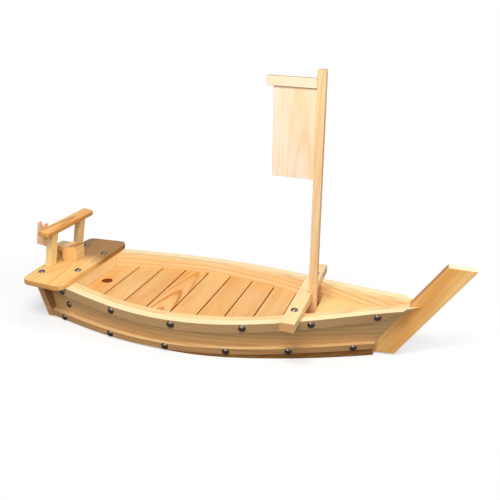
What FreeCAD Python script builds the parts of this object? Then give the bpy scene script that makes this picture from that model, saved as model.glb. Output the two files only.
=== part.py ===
import FreeCAD, Part
import os
import math
import Sketcher

# Wooden serving boat, millimetres. X runs forward to the bow, Y to port, Z up.
# The origin is the middle of the footprint, on the surface that the boat stands on.

os.makedirs("parts", exist_ok=True)
doc = FreeCAD.newDocument("ServingBoat")
sheet = doc.addObject("Spreadsheet::Sheet", "Sizes")

# Every size that a maker would choose, in millimetres and degrees
SIZES = {
    # fitting allowances
    "glue_gap": 0.1,
    "mortise_gap": 0.2,
    # timber sections
    "board_thickness": 9.0,
    "plank_thickness": 10.5,
    "rail_thickness": 12.0,
    "rail_height": 13.0,
    "wale_thickness": 9.5,
    "wale_height": 8.8,
    # hull offsets at seven stations: distance forward of the transom's foot or aft of the stem's head,
    # half-breadths, height of the rim, foot of the wale
    "tail_from_transom": -12.5,
    "tail_rim_half": 65.0,
    "tail_floor_half": 49.5,
    "tail_rim_height": 55.5,
    "tail_wale_foot": 1.0,
    "quarter_from_transom": 101.5,
    "quarter_rim_half": 96.5,
    "quarter_floor_half": 80.5,
    "quarter_rim_height": 50.4,
    "quarter_wale_foot": 1.8,
    "middle_from_transom": 211.5,
    "middle_rim_half": 106.4,
    "middle_floor_half": 87.5,
    "middle_rim_height": 49.2,
    "middle_wale_foot": 3.0,
    "shoulder_from_stem": 236.0,
    "shoulder_rim_half": 86.0,
    "shoulder_floor_half": 65.0,
    "shoulder_rim_height": 54.4,
    "shoulder_wale_foot": 6.6,
    "entry_from_stem": 166.0,
    "entry_rim_half": 59.3,
    "entry_floor_half": 36.5,
    "entry_rim_height": 60.9,
    "entry_wale_foot": 9.0,
    "cheek_from_stem": 111.0,
    "cheek_rim_half": 37.1,
    "cheek_floor_half": 8.6,
    "cheek_rim_height": 67.4,
    "cheek_wale_foot": 9.8,
    "tip_from_stem": 50.0,
    "tip_rim_half": 18.4,
    "tip_floor_half": -16.5,
    "tip_rim_height": 73.8,
    "tip_wale_foot": 10.2,
    # bottom board, which stands proud of the planks from amidships forward
    "board_lip": 7.5,
    "board_reach": 10.7,
    # stem
    "stem_head": 286.0,
    "stem_height": 127.7,
    "stem_rake": 56.2,
    "stem_width": 28.4,
    "stem_thickness": 15.4,
    "stem_toe_rise": 3.0,
    "rail_lap": 14.2,
    "rail_cut": 34.0,
    "rail_bevel": 16.0,
    # transom
    "transom_foot": -261.5,
    "transom_rake": 12.4,
    "transom_thickness": 8.5,
    "transom_top_half": 72.5,
    "transom_floor_half": 64.5,
    # stern platform and its bulkhead
    "platform_top": 60.6,
    "platform_thickness": 7.7,
    "platform_length": 65.7,
    "platform_overhang": 24.5,
    "platform_bow": 3.5,
    "platform_fore_half": 93.0,
    "platform_aft_half": 88.0,
    "platform_round": 12.0,
    "platform_lip": 1.1,
    "bulkhead_thickness": 8.0,
    # deck
    "deck_height": 35.0,
    "slat_pitch": 35.0,
    "slat_gap": 1.3,
    "slat_thickness": 7.0,
    "finger_hole_inset": 15.8,
    "finger_hole_size": 15.0,
    "batten_width": 14.0,
    "batten_half": 35.0,
    "foredeck_gap": 0.3,
    "foredeck_height": 44.8,
    "foredeck_slope": 7.6,
    "foredeck_thickness": 8.5,
    # thwart and rig
    "thwart_inset": 19.9,
    "thwart_width": 18.2,
    "thwart_foot": 55.6,
    "thwart_thickness": 12.0,
    "thwart_half": 98.7,
    "mast_inset": 15.0,
    "mast_side": 10.2,
    "mast_length": 334.0,
    "mast_lean": 1.53,
    "yard_length": 60.2,
    "yard_height": 11.4,
    "yard_drop": 21.4,
    "yard_slope": 1.8,
    "yard_side": 10.2,
    "flag_width": 52.0,
    "flag_height": 107.0,
    "flag_thickness": 5.0,
    # gate over the stern platform
    "gate_inset": 17.5,
    "gate_lean": 8.5,
    "post_depth": 9.0,
    "post_width": 13.5,
    "post_inner_half": 28.0,
    "post_height": 50.0,
    "beam_depth": 16.0,
    "beam_thickness": 8.0,
    "beam_half": 57.5,
    "fork_width": 15.0,
    "fork_thickness": 7.0,
    "fork_foot": 30.0,
    "fork_height": 31.5,
    "fork_notch": 14.0,
    "fork_prong": 2.0,
    # block and slotted bracket between the posts
    "block_inset": 19.2,
    "block_length": 20.0,
    "block_width": 21.8,
    "block_height": 22.0,
    "bracket_length": 15.6,
    "bracket_height": 21.0,
    "bracket_top": 7.0,
    "bracket_slot": 7.8,
    "bracket_front": 2.8,
    # dome nails: the hull's places run forward of the transom's foot or aft of the stem's head
    "nail_radius": 4.7,
    "nail_height": 2.9,
    "upper_nail_stern": 33.1,
    "upper_nail_quarter": 116.8,
    "upper_nail_middle": 201.1,
    "upper_nail_shoulder": 259.2,
    "upper_nail_entry": 181.2,
    "upper_nail_cheek": 106.6,
    "lower_nail_stern": 29.6,
    "lower_nail_quarter": 109.8,
    "lower_nail_middle": 189.9,
    "lower_nail_shoulder": 280.6,
    "lower_nail_entry": 207.4,
    "lower_nail_cheek": 132.5,
    "plank_nail_stern": 33.1,
    "plank_nail_height": 21.4,
    "platform_aft_nail_inset": 14.2,
    "platform_aft_nail_half": 57.4,
    "platform_fore_nail_inset": 9.2,
    "platform_fore_nail_half": 35.4,
    "thwart_nail_half": 62.0,
}

SLAT_COUNT = 9

# Places along the boat that follow from the sizes, worked out in the sheet
PLACES = {
    "tail_place": "transom_foot + tail_from_transom",
    "quarter_place": "transom_foot + quarter_from_transom",
    "middle_place": "transom_foot + middle_from_transom",
    "shoulder_place": "stem_head - shoulder_from_stem",
    "entry_place": "stem_head - entry_from_stem",
    "cheek_place": "stem_head - cheek_from_stem",
    "tip_place": "stem_head - tip_from_stem",
    "platform_aft": "transom_foot - platform_overhang",
    "platform_corner": "platform_aft + platform_bow",
    "platform_fore": "platform_aft + platform_length",
    "deck_start": "platform_fore - platform_lip",
    "deck_end": "deck_start + %d * slat_pitch" % SLAT_COUNT,
    "finger_hole_place": "deck_start + finger_hole_inset",
    "thwart_place": "deck_end - thwart_inset",
    "mast_place": "thwart_place + mast_inset",
    "foredeck_place": "mast_place + mast_side + foredeck_gap - (foredeck_height - board_thickness) "
                      "* tan(mast_lean * 1deg)",
    "yard_foot": "mast_length - yard_drop",
    "gate_place": "platform_aft + gate_inset",
    "block_place": "platform_aft + block_inset",
}
CELLS = [(alias, str(value)) for alias, value in SIZES.items()]
CELLS += [(alias, "=" + rule) for alias, rule in PLACES.items()]
for row, (alias, content) in enumerate(CELLS, start=1):
    sheet.set("A%d" % row, alias)
    sheet.set("B%d" % row, content)
    sheet.setAlias("B%d" % row, alias)
doc.recompute()

STATIONS = ("tail", "quarter", "middle", "shoulder", "entry", "cheek", "tip")
LIPPED_STATIONS = ("middle", "shoulder", "entry", "cheek")
AFT_NAILS = ("stern", "quarter", "middle")
FORE_NAILS = ("shoulder", "entry", "cheek")
SIDES = {"port": 1, "starboard": -1}
UP = FreeCAD.Vector(0, 0, 1)
DOME_BANDS = 3
DOME_SIDES = 20

# Lengths for trimming: past the boat on any side, above the rims, and a short step along a surface
BEYOND = 400.0
ABOVE = 100.0
STEP = 1.0

# Heights and places that follow from the sizes above, as sheet expressions
PLATFORM_SEAT = "(Sizes.platform_top - Sizes.platform_thickness)"
SLAT_SEAT = "(Sizes.deck_height - Sizes.slat_thickness)"
RAKE_RUN = "tan((90 - Sizes.stem_rake) * 1deg)"
STEM_RUN = "(Sizes.stem_width / sin(Sizes.stem_rake * 1deg))"
TRANSOM_RUN = "tan(Sizes.transom_rake * 1deg)"
TRANSOM_DEPTH = "(Sizes.transom_thickness / cos(Sizes.transom_rake * 1deg))"
LEAN_RUN = "tan(Sizes.mast_lean * 1deg)"
GATE_RUN = "tan(Sizes.gate_lean * 1deg)"

nodes = []


def size(alias):
    """Read one size from the sheet."""
    return float(getattr(sheet, alias))


def worked_out(expression):
    """Work out a sheet expression as a plain number."""
    return float(sheet.evalExpression(expression))


def keep(piece, label):
    """Name a finished piece of the boat and list it for writing."""
    piece.Label = label
    nodes.append(piece)
    return piece


def origin_plane(body, role):
    """Find one of a body's own origin planes."""
    return next(plane for plane in body.Origin.OriginFeatures if plane.Role == role)


def outline(body, name, role, corners):
    """Draw a closed outline on an origin plane, each corner bound to the sheet."""
    sketch = body.newObject("Sketcher::SketchObject", name)
    sketch.AttachmentSupport = (origin_plane(body, role), [""])
    sketch.MapMode = "FlatFace"
    spots = [FreeCAD.Vector(worked_out(across), worked_out(up), 0) for across, up in corners]
    count = len(spots)
    for index in range(count):
        sketch.addGeometry(Part.LineSegment(spots[index], spots[(index + 1) % count]), False)
    for index in range(count):
        sketch.addConstraint(Sketcher.Constraint("Coincident", index, 2, (index + 1) % count, 1))
        bind_corner(sketch, index, spots[index], corners[index])
    return sketch


def bind_corner(sketch, edge, spot, corner):
    """Fix the start of an edge to a corner that the sheet gives."""
    for kind, value, expression in (("DistanceX", spot.x, corner[0]), ("DistanceY", spot.y, corner[1])):
        rule = sketch.addConstraint(Sketcher.Constraint(kind, -1, 1, edge, 1, value))
        sketch.setExpression("Constraints[%d]" % rule, expression)


def pad(body, sketch, depth):
    """Thicken an outline evenly to both sides of its plane."""
    feature = body.newObject("PartDesign::Pad", sketch.Name + "Pad")
    feature.Profile = sketch
    feature.Midplane = True
    feature.setExpression("Length", depth)
    body.Tip = feature
    return feature


def upright(label, corners, depth, place="0", half="0", height="0", lean="0"):
    """Make a piece from its side view, set at a place and leaning forward by an angle."""
    body = doc.addObject("PartDesign::Body", label + "_body")
    pad(body, outline(body, label + "_side", "XZ_Plane", corners), depth)
    spot = "create(<<vector>>; %s; %s; %s)" % (place, half, height)
    turn = "create(<<rotation>>; create(<<vector>>; 0; 1; 0); %s)" % lean
    body.setExpression("Placement", "create(<<placement>>; %s; %s)" % (spot, turn))
    return keep(body, label)


def block(name, lengths, corner):
    """Make a plain box with its three lengths and lowest corner bound to the sheet."""
    box = doc.addObject("Part::Box", name)
    for side, expression in zip(("Length", "Width", "Height"), lengths):
        box.setExpression(side, expression)
    for axis, expression in zip("xyz", corner):
        box.setExpression("Placement.Base." + axis, expression)
    return box


def joined(kind, name, base, tool):
    """Combine two objects with a boolean."""
    result = doc.addObject("Part::" + kind, name)
    result.Base = base
    result.Tool = tool
    return result


def solid_feature(name, shape):
    """Put a shape made by hand into the document."""
    feature = doc.addObject("Part::Feature", name)
    feature.Shape = shape
    feature.Placement = FreeCAD.Placement()
    return feature


# Hull surfaces

def side_half(station, height):
    """Half-breadth of the plank's outer face at a station and height."""
    rim = size(station + "_rim_half") - size("rail_thickness") - size("glue_gap")
    floor = size(station + "_floor_half")
    rise = size(station + "_rim_height") - size("board_thickness")
    return floor + (rim - floor) * (height - size("board_thickness")) / rise


def strip(side, foot, top, inner, outer):
    """Loft a strip along the hull between two heights and two offsets from the plank's face."""
    sections = []
    for station in STATIONS:
        low = foot(station)
        high = top(station)
        place = size(station + "_place")
        ring = [(inner, low), (outer, low), (outer, high), (inner, high)]
        corners = [FreeCAD.Vector(place, side * (side_half(station, z) + offset), z) for offset, z in ring]
        sections.append(Part.makePolygon(corners + corners[:1]))
    return Part.makeLoft(sections, True, False)


def side_prism(corners, low_y, high_y):
    """Sweep a side view in X and Z from one Y to another."""
    spots = [FreeCAD.Vector(x, low_y, z) for x, z in corners]
    face = Part.Face(Part.makePolygon(spots + spots[:1]))
    return face.extrude(FreeCAD.Vector(0, high_y - low_y, 0))


def transom_face(height, offset):
    """X of the transom's fore face at a height, moved forward by an offset."""
    depth = worked_out(TRANSOM_DEPTH)
    return size("transom_foot") + depth - height * worked_out(TRANSOM_RUN) + offset


def stem_back(height, offset=0.0):
    """X of the stem's aft face at a height, moved by an offset."""
    fore = size("stem_head") - (size("stem_height") - height) * worked_out(RAKE_RUN)
    return fore - worked_out(STEM_RUN) + offset


def between_ends(low, high, inner, outer):
    """Space between the transom and the stem, over a range of heights and half-breadths."""
    gap = size("glue_gap")
    corners = [(transom_face(low, gap), low), (stem_back(low, -gap), low),
               (stem_back(high, -gap), high), (transom_face(high, gap), high)]
    return side_prism(corners, inner, outer)


def seats():
    """Solids that the platform and the thwart take out of the rims."""
    gap = size("glue_gap")
    platform_seat = worked_out(PLATFORM_SEAT)
    under_platform = Part.makeBox(
        BEYOND, 2 * BEYOND, BEYOND,
        FreeCAD.Vector(size("platform_fore") + gap - BEYOND, -BEYOND, platform_seat))
    thwart_seat = Part.makeBox(
        size("thwart_width") + 2 * gap, 2 * BEYOND, BEYOND,
        FreeCAD.Vector(size("thwart_place") - gap, -BEYOND, size("thwart_foot")))
    return [under_platform, thwart_seat]


def stem_solid(spare):
    """The stem's own form, fuller on both sides by a spare gap."""
    top = size("stem_height")
    run = worked_out(STEM_RUN)
    corners = [(stem_back(0, -spare), 0), (stem_back(0, run), 0),
               (stem_back(top, run), top), (stem_back(top, -spare), top)]
    half = size("stem_thickness") / 2 + spare
    return side_prism(corners, -half, half)


def rail_tip_cutter(side):
    """Wedge that bevels the rail's end down to the stem's side, sloping aft to the rail's foot."""
    half = size("stem_thickness") / 2
    tip = stem_back(size("tip_rim_height"), size("rail_lap"))
    length = size("rail_bevel")
    slope = worked_out("tan((90 - Sizes.rail_cut) * 1deg)")
    slide = -size("tip_rim_height") * slope
    spots = [(tip, half), (tip - length, half + size("rail_thickness")),
             (tip - length - ABOVE, half + BEYOND), (tip + BEYOND, half + BEYOND), (tip + BEYOND, half)]
    corners = [FreeCAD.Vector(x + slide, side * y, 0) for x, y in spots]
    face = Part.Face(Part.makePolygon(corners + corners[:1]))
    return face.extrude(FreeCAD.Vector(ABOVE * slope, 0, ABOVE))


def board_outline_half(station):
    """Half-breadth of the bottom board at a station."""
    lip = size("board_lip") if station in LIPPED_STATIONS else 0.0
    return size(station + "_floor_half") + lip


def board_nose():
    """X of the bottom board's fore end, which laps the stem's foot."""
    return stem_back(0, size("board_reach"))


def board_solid(spare):
    """The bottom board, fuller all round its edge by a spare gap."""
    spots = [(size(station + "_place"), board_outline_half(station)) for station in STATIONS[:-1]]
    near, far = spots[-2:]
    taper = (far[1] - near[1]) / (far[0] - near[0])
    spots[-1] = (board_nose(), near[1] + taper * (board_nose() - near[0]))
    edge = [FreeCAD.Vector(place, half + spare, 0) for place, half in spots]
    mirrored = [FreeCAD.Vector(spot.x, -spot.y, 0) for spot in reversed(edge)]
    port = Part.BSplineCurve()
    port.interpolate(edge)
    starboard = Part.BSplineCurve()
    starboard.interpolate(mirrored)
    sides = [port.toShape(), Part.makeLine(edge[-1], mirrored[0]),
             starboard.toShape(), Part.makeLine(mirrored[-1], edge[0])]
    return Part.Face(Part.Wire(sides)).extrude(UP * (size("board_thickness") + spare))


def bottom_board():
    """Flat board that the planks stand on, notched round the stem's foot."""
    gap = size("glue_gap")
    low = -gap
    high = size("board_thickness") + gap
    reach = [(transom_face(low, gap), low), (board_nose(), low),
             (board_nose(), high), (transom_face(high, gap), high)]
    plate = board_solid(0.0).common(side_prism(reach, -BEYOND, BEYOND))
    return solid_feature("bottom_board", plate.cut(stem_solid(gap)))


def side_plank(side):
    """Flared side plank, from the transom to the back of the stem."""
    gap = size("glue_gap")
    foot = size("board_thickness") + gap
    plank = strip(side, lambda station: foot, lambda station: size(station + "_rim_height"),
                  -size("plank_thickness"), 0.0)
    inner, outer = sorted((side * gap / 2, side * BEYOND))
    return plank.common(between_ends(0.0, ABOVE, inner, outer)).cut(seats())


def upper_rail(side):
    """Rail along the rim, ending in a bevel on the stem's side."""
    gap = size("glue_gap")
    height = size("rail_height")
    rail = strip(side, lambda station: size(station + "_rim_height") - height,
                 lambda station: size(station + "_rim_height"), gap, gap + size("rail_thickness"))
    behind = [(transom_face(0, gap), 0), (BEYOND, 0), (BEYOND, ABOVE), (transom_face(ABOVE, gap), ABOVE)]
    rail = rail.common(side_prism(behind, -BEYOND, BEYOND))
    return rail.cut(seats() + [stem_solid(gap), rail_tip_cutter(side)])


def wale(side):
    """Lower rail, which covers the bottom board's edge aft and sits over it forward."""
    gap = size("glue_gap")
    height = size("wale_height")
    rail = strip(side, lambda station: size(station + "_wale_foot"),
                 lambda station: size(station + "_wale_foot") + height, gap, gap + size("wale_thickness"))
    inner, outer = sorted((side * gap / 2, side * BEYOND))
    rail = rail.common(between_ends(0.0, ABOVE, inner, outer))
    return rail.cut([board_solid(gap)])


def hull_room():
    """Open space inside the planks, from the bottom board up past the rims."""
    gap = size("glue_gap")
    foot = size("board_thickness")
    inner = -size("plank_thickness") - gap
    space = between_ends(foot, ABOVE, -BEYOND, BEYOND)
    for side in SIDES.values():
        outside = strip(side, lambda station: 0.0, lambda station: ABOVE + gap, inner + gap, BEYOND)
        planking = strip(side, lambda station: foot + gap, lambda station: size(station + "_rim_height"),
                         inner, 0.0)
        space = space.cut([outside, planking])
    return space


board = keep(bottom_board(), "bottom_board")
planks = {}
rails = {}
wales = {}
for hand, sign in SIDES.items():
    planks[hand] = keep(solid_feature("side_plank_" + hand, side_plank(sign)), "side_plank_" + hand)
    rails[hand] = keep(solid_feature("upper_rail_" + hand, upper_rail(sign)), "upper_rail_" + hand)
    wales[hand] = keep(solid_feature("lower_rail_" + hand, wale(sign)), "lower_rail_" + hand)
room = solid_feature("hull_room", hull_room())

# Stem: a raked board with a level head

stem = upright(
    "stem",
    [("Sizes.stem_head - Sizes.stem_height * %s - %s" % (RAKE_RUN, STEM_RUN), "0"),
     ("Sizes.stem_head - (Sizes.stem_height - Sizes.stem_toe_rise) * %s" % RAKE_RUN, "Sizes.stem_toe_rise"),
     ("Sizes.stem_head", "Sizes.stem_height"),
     ("Sizes.stem_head - %s" % STEM_RUN, "Sizes.stem_height")],
    "Sizes.stem_thickness")

# Transom: a raked board that closes the stern, narrower at its foot

transom = upright(
    "transom",
    [("Sizes.transom_foot", "0"),
     ("Sizes.transom_foot + %s" % TRANSOM_DEPTH, "0"),
     ("Sizes.transom_foot + %s - %s * %s" % (TRANSOM_DEPTH, PLATFORM_SEAT, TRANSOM_RUN), PLATFORM_SEAT),
     ("Sizes.transom_foot - %s * %s" % (PLATFORM_SEAT, TRANSOM_RUN), PLATFORM_SEAT)],
    "2 * Sizes.transom_top_half")
for hand, sign in (("Port", ""), ("Starboard", "-")):
    slope = outline(
        transom, "transom_slope" + hand, "YZ_Plane",
        [(sign + "Sizes.transom_floor_half", "0"),
         (sign + "Sizes.transom_top_half", PLATFORM_SEAT),
         (sign + "Sizes.middle_rim_half", PLATFORM_SEAT),
         (sign + "Sizes.middle_rim_half", "0")])
    trim = transom.newObject("PartDesign::Pocket", "transom_trim" + hand)
    trim.Profile = slope
    trim.Midplane = True
    trim.Length = 2 * BEYOND
    transom.Tip = trim


# Stern platform, with a bowed aft edge and rounded corners

def platform_outline(body):
    """Outline of the platform: three straight edges and an arc across the stern."""
    sketch = body.newObject("Sketcher::SketchObject", "platform_plan")
    sketch.AttachmentSupport = (origin_plane(body, "XY_Plane"), [""])
    sketch.MapMode = "FlatFace"
    corners = [("Sizes.platform_corner", "Sizes.platform_aft_half"),
               ("Sizes.platform_fore", "Sizes.platform_fore_half"),
               ("Sizes.platform_fore", "-Sizes.platform_fore_half"),
               ("Sizes.platform_corner", "-Sizes.platform_aft_half")]
    spots = [FreeCAD.Vector(worked_out(along), worked_out(across), 0) for along, across in corners]
    for index in range(3):
        sketch.addGeometry(Part.LineSegment(spots[index], spots[index + 1]), False)
    bow = "(Sizes.platform_corner - Sizes.platform_aft)"
    radius = "(pow(Sizes.platform_aft_half; 2) + pow(%s; 2)) / (2 * %s)" % (bow, bow)
    sweep = worked_out(radius)
    half_turn = math.asin(size("platform_aft_half") / sweep)
    stern = Part.Circle(FreeCAD.Vector(size("platform_aft") + sweep, 0, 0), UP, sweep)
    sketch.addGeometry(Part.ArcOfCircle(stern, math.pi - half_turn, math.pi + half_turn), False)
    for index in range(2):
        sketch.addConstraint(Sketcher.Constraint("Coincident", index, 2, index + 1, 1))
    for index in range(3):
        bind_corner(sketch, index, spots[index], corners[index])
    for kind, value, expression in (("DistanceX", spots[3].x, corners[3][0]),
                                    ("DistanceY", spots[3].y, corners[3][1])):
        rule = sketch.addConstraint(Sketcher.Constraint(kind, -1, 1, 2, 2, value))
        sketch.setExpression("Constraints[%d]" % rule, expression)
    sketch.addConstraint(Sketcher.Constraint("Coincident", 3, 1, 0, 1))
    sketch.addConstraint(Sketcher.Constraint("Coincident", 3, 2, 2, 2))
    rule = sketch.addConstraint(Sketcher.Constraint("Radius", 3, sweep))
    sketch.setExpression("Constraints[%d]" % rule, radius)
    return sketch


platform = doc.addObject("PartDesign::Body", "stern_platform_body")
platform_pad = platform.newObject("PartDesign::Pad", "platform_pad")
platform_pad.Profile = platform_outline(platform)
platform_pad.setExpression("Length", "Sizes.platform_thickness")
platform.Tip = platform_pad
platform.setExpression("Placement.Base.z", PLATFORM_SEAT)
doc.recompute()
corner_edges = []
for index, edge in enumerate(platform_pad.Shape.Edges, start=1):
    vertical = abs(edge.tangentAt(edge.FirstParameter).z) > 0.99
    if vertical and len(edge.Vertexes) == 2:
        corner_edges.append("Edge%d" % index)
rounding = platform.newObject("PartDesign::Fillet", "platform_corners")
rounding.Base = (platform_pad, corner_edges)
rounding.setExpression("Radius", "Sizes.platform_round")
platform.Tip = rounding
keep(platform, "stern_platform")


def inside_hull(label, lengths, corner, lean=None):
    """Board trimmed to the planks' inner faces."""
    blank = block(label + "_blank", lengths, corner)
    if lean:
        blank.Placement.Rotation = FreeCAD.Rotation(FreeCAD.Vector(0, 1, 0), 1)
        blank.setExpression("Placement.Rotation.Angle", lean)
    return joined("Common", label + "_fitted", blank, room)


bulkhead = inside_hull(
    "stern_bulkhead",
    ("Sizes.bulkhead_thickness", "2 * Sizes.middle_rim_half", "%s - Sizes.board_thickness" % PLATFORM_SEAT),
    ("Sizes.deck_start - Sizes.bulkhead_thickness", "-Sizes.middle_rim_half", "Sizes.board_thickness"))
keep(bulkhead, "stern_bulkhead")

foredeck = inside_hull(
    "foredeck_board",
    ("Sizes.stem_head - Sizes.foredeck_place", "2 * Sizes.middle_rim_half", "Sizes.foredeck_thickness"),
    ("Sizes.foredeck_place + Sizes.foredeck_thickness * sin(Sizes.foredeck_slope * 1deg)",
     "-Sizes.middle_rim_half",
     "Sizes.foredeck_height - Sizes.foredeck_thickness * cos(Sizes.foredeck_slope * 1deg)"),
    "-Sizes.foredeck_slope")
keep(foredeck, "foredeck_board")

# Deck battens and slats

DECK_RUN = "(%d * Sizes.slat_pitch)" % SLAT_COUNT
for hand, sign in SIDES.items():
    near = "Sizes.batten_half - Sizes.batten_width / 2"
    start = near if sign > 0 else "-(%s) - Sizes.batten_width" % near
    batten = inside_hull(
        "deck_batten_" + hand,
        (DECK_RUN, "Sizes.batten_width", "%s - Sizes.board_thickness" % SLAT_SEAT),
        ("Sizes.deck_start", start, "Sizes.board_thickness"))
    keep(batten, "deck_batten_" + hand)

# Mast, and the room that it needs through the thwart and the last slat

RIG_SPOT = "create(<<vector>>; Sizes.mast_place; 0; Sizes.board_thickness)"
RIG_TURN = "create(<<rotation>>; create(<<vector>>; 0; 1; 0); -Sizes.mast_lean)"
mast_room = doc.addObject("Part::Box", "mast_room")
mast_room.setExpression("Length", "Sizes.mast_side + 2 * Sizes.mortise_gap")
mast_room.setExpression("Width", "Sizes.mast_side + 2 * Sizes.mortise_gap")
mast_room.setExpression("Height", "Sizes.mast_length")
room_half = "-Sizes.mast_side / 2 - Sizes.mortise_gap"
mast_room.setExpression(
    "Placement",
    "create(<<placement>>; %s; %s) * create(<<placement>>; create(<<vector>>; -Sizes.mortise_gap; %s; 0); "
    "create(<<rotation>>; 0; 0; 0; 1))" % (RIG_SPOT, RIG_TURN, room_half))

for number in range(1, SLAT_COUNT + 1):
    label = "deck_slat_%d" % number
    slat = inside_hull(
        label,
        ("Sizes.slat_pitch - Sizes.slat_gap", "2 * Sizes.middle_rim_half", "Sizes.slat_thickness"),
        ("Sizes.deck_start + %d * Sizes.slat_pitch + Sizes.slat_gap / 2" % (number - 1),
         "-Sizes.middle_rim_half", SLAT_SEAT))
    if number == 1:
        hole = doc.addObject("Part::Cylinder", "finger_hole")
        hole.setExpression("Radius", "Sizes.finger_hole_size / 2")
        hole.setExpression("Height", "3 * Sizes.slat_thickness")
        hole.setExpression("Placement.Base.x", "Sizes.finger_hole_place")
        hole.setExpression("Placement.Base.z", "%s - Sizes.slat_thickness" % SLAT_SEAT)
        slat = joined("Cut", label + "_bored", slat, hole)
    if number == SLAT_COUNT:
        slat = joined("Cut", label + "_mortised", slat, mast_room)
    keep(slat, label)

thwart_bar = block(
    "thwart_bar",
    ("Sizes.thwart_width", "2 * Sizes.thwart_half", "Sizes.thwart_thickness"),
    ("Sizes.thwart_place", "-Sizes.thwart_half", "Sizes.thwart_foot"))
thwart = keep(joined("Cut", "thwart_notched", thwart_bar, mast_room), "thwart")


def rig_piece(label, aft, fore, foot, top, depth):
    """Piece with its ends along the mast, measured from the mast's aft face and its foot."""
    corners = [(aft, foot[0]), (fore, foot[1]), (fore, top[1]), (aft, top[0])]
    return upright(label, corners, depth, "Sizes.mast_place", "0", "Sizes.board_thickness",
                   "-Sizes.mast_lean")


def rising_aft(height, aft):
    """A height along the mast at its aft face, and higher by the yard's slope further aft."""
    return ("%s - %s * tan(Sizes.yard_slope * 1deg)" % (height, aft), height)


mast = rig_piece("mast", "0", "Sizes.mast_side",
                 ("Sizes.glue_gap", "Sizes.glue_gap - Sizes.mast_side * %s" % LEAN_RUN),
                 ("Sizes.mast_length", "Sizes.mast_length"), "Sizes.mast_side")
yard_end = "-Sizes.yard_length"
yard = rig_piece("yard", yard_end, "-Sizes.glue_gap", rising_aft("Sizes.yard_foot", yard_end),
                 rising_aft("Sizes.yard_foot + Sizes.yard_height", yard_end), "Sizes.yard_side")
flag_end = "-Sizes.flag_width"
flag_top = "Sizes.yard_foot - Sizes.glue_gap"
flag = rig_piece("flag_panel", flag_end, "-Sizes.glue_gap",
                 rising_aft("%s - Sizes.flag_height" % flag_top, flag_end),
                 rising_aft(flag_top, flag_end), "Sizes.flag_thickness")


# Gate: two posts and a beam that lean forward together, with the forked oar rest behind one post

def gate_piece(label, corners, depth, half="0"):
    """Piece squared to the gate's posts, measured from their fore faces and feet."""
    return upright(label, corners, depth, "Sizes.gate_place", half, "Sizes.platform_top", "Sizes.gate_lean")


POST_MIDDLE = "(Sizes.post_inner_half + Sizes.post_width / 2)"
for hand, sign in (("port", ""), ("starboard", "-")):
    gate_piece(
        "gate_post_" + hand,
        [("-Sizes.post_depth", "-Sizes.post_depth * %s" % GATE_RUN), ("0", "0"),
         ("0", "Sizes.post_height"), ("-Sizes.post_depth", "Sizes.post_height")],
        "Sizes.post_width", sign + POST_MIDDLE)

beam_fore = "(Sizes.beam_depth - Sizes.post_depth) / 2"
beam_aft = "%s - Sizes.beam_depth" % beam_fore
beam_top = "Sizes.post_height + Sizes.beam_thickness"
beam = gate_piece(
    "gate_beam",
    [(beam_aft, "Sizes.post_height"), (beam_fore, "Sizes.post_height"),
     (beam_fore, beam_top), (beam_aft, beam_top)],
    "2 * Sizes.beam_half")

fork_fore = "-Sizes.post_depth - Sizes.glue_gap"
fork_reach = "(Sizes.beam_depth - Sizes.post_depth) / 2 + Sizes.glue_gap"
fork_aft = "%s - Sizes.fork_width" % fork_fore
fork_top = "Sizes.fork_foot + Sizes.fork_height"
fork_neck = "Sizes.post_height - Sizes.glue_gap"
fork_back = "%s - %s" % (fork_fore, fork_reach)
fork = gate_piece(
    "oar_rest",
    [(fork_aft, "Sizes.fork_foot"), (fork_fore, "Sizes.fork_foot"),
     (fork_fore, fork_neck), (fork_back, fork_neck), (fork_back, fork_top),
     ("%s - Sizes.fork_prong" % fork_back, fork_top),
     ("(%s + %s) / 2" % (fork_aft, fork_back), "%s - Sizes.fork_notch" % fork_top),
     ("%s + Sizes.fork_prong" % fork_aft, fork_top), (fork_aft, fork_top)],
    "Sizes.fork_thickness",
    "-(Sizes.post_inner_half + Sizes.post_width - Sizes.fork_thickness / 2)")

# Block between the posts, and the slotted bracket behind it

block_side = [("0", "0"), ("Sizes.block_length", "0"),
              ("Sizes.block_length", "Sizes.block_height"), ("0", "Sizes.block_height")]
stern_block = upright("stern_block", block_side, "Sizes.block_width", "Sizes.block_place", "0",
                      "Sizes.platform_top")

slot_fore = "-Sizes.glue_gap - Sizes.bracket_front"
slot_aft = "%s - Sizes.bracket_slot" % slot_fore
slot_top = "Sizes.bracket_height - Sizes.bracket_top"
bracket_side = [("-Sizes.bracket_length", "0"), (slot_aft, "0"), (slot_aft, slot_top), (slot_fore, slot_top),
                (slot_fore, "0"), ("-Sizes.glue_gap", "0"), ("-Sizes.glue_gap", "Sizes.bracket_height"),
                ("-Sizes.bracket_length", "Sizes.bracket_height")]
stern_bracket = upright("stern_bracket", bracket_side, "Sizes.block_width", "Sizes.block_place", "0",
                        "Sizes.platform_top")


# Dome nails

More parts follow.
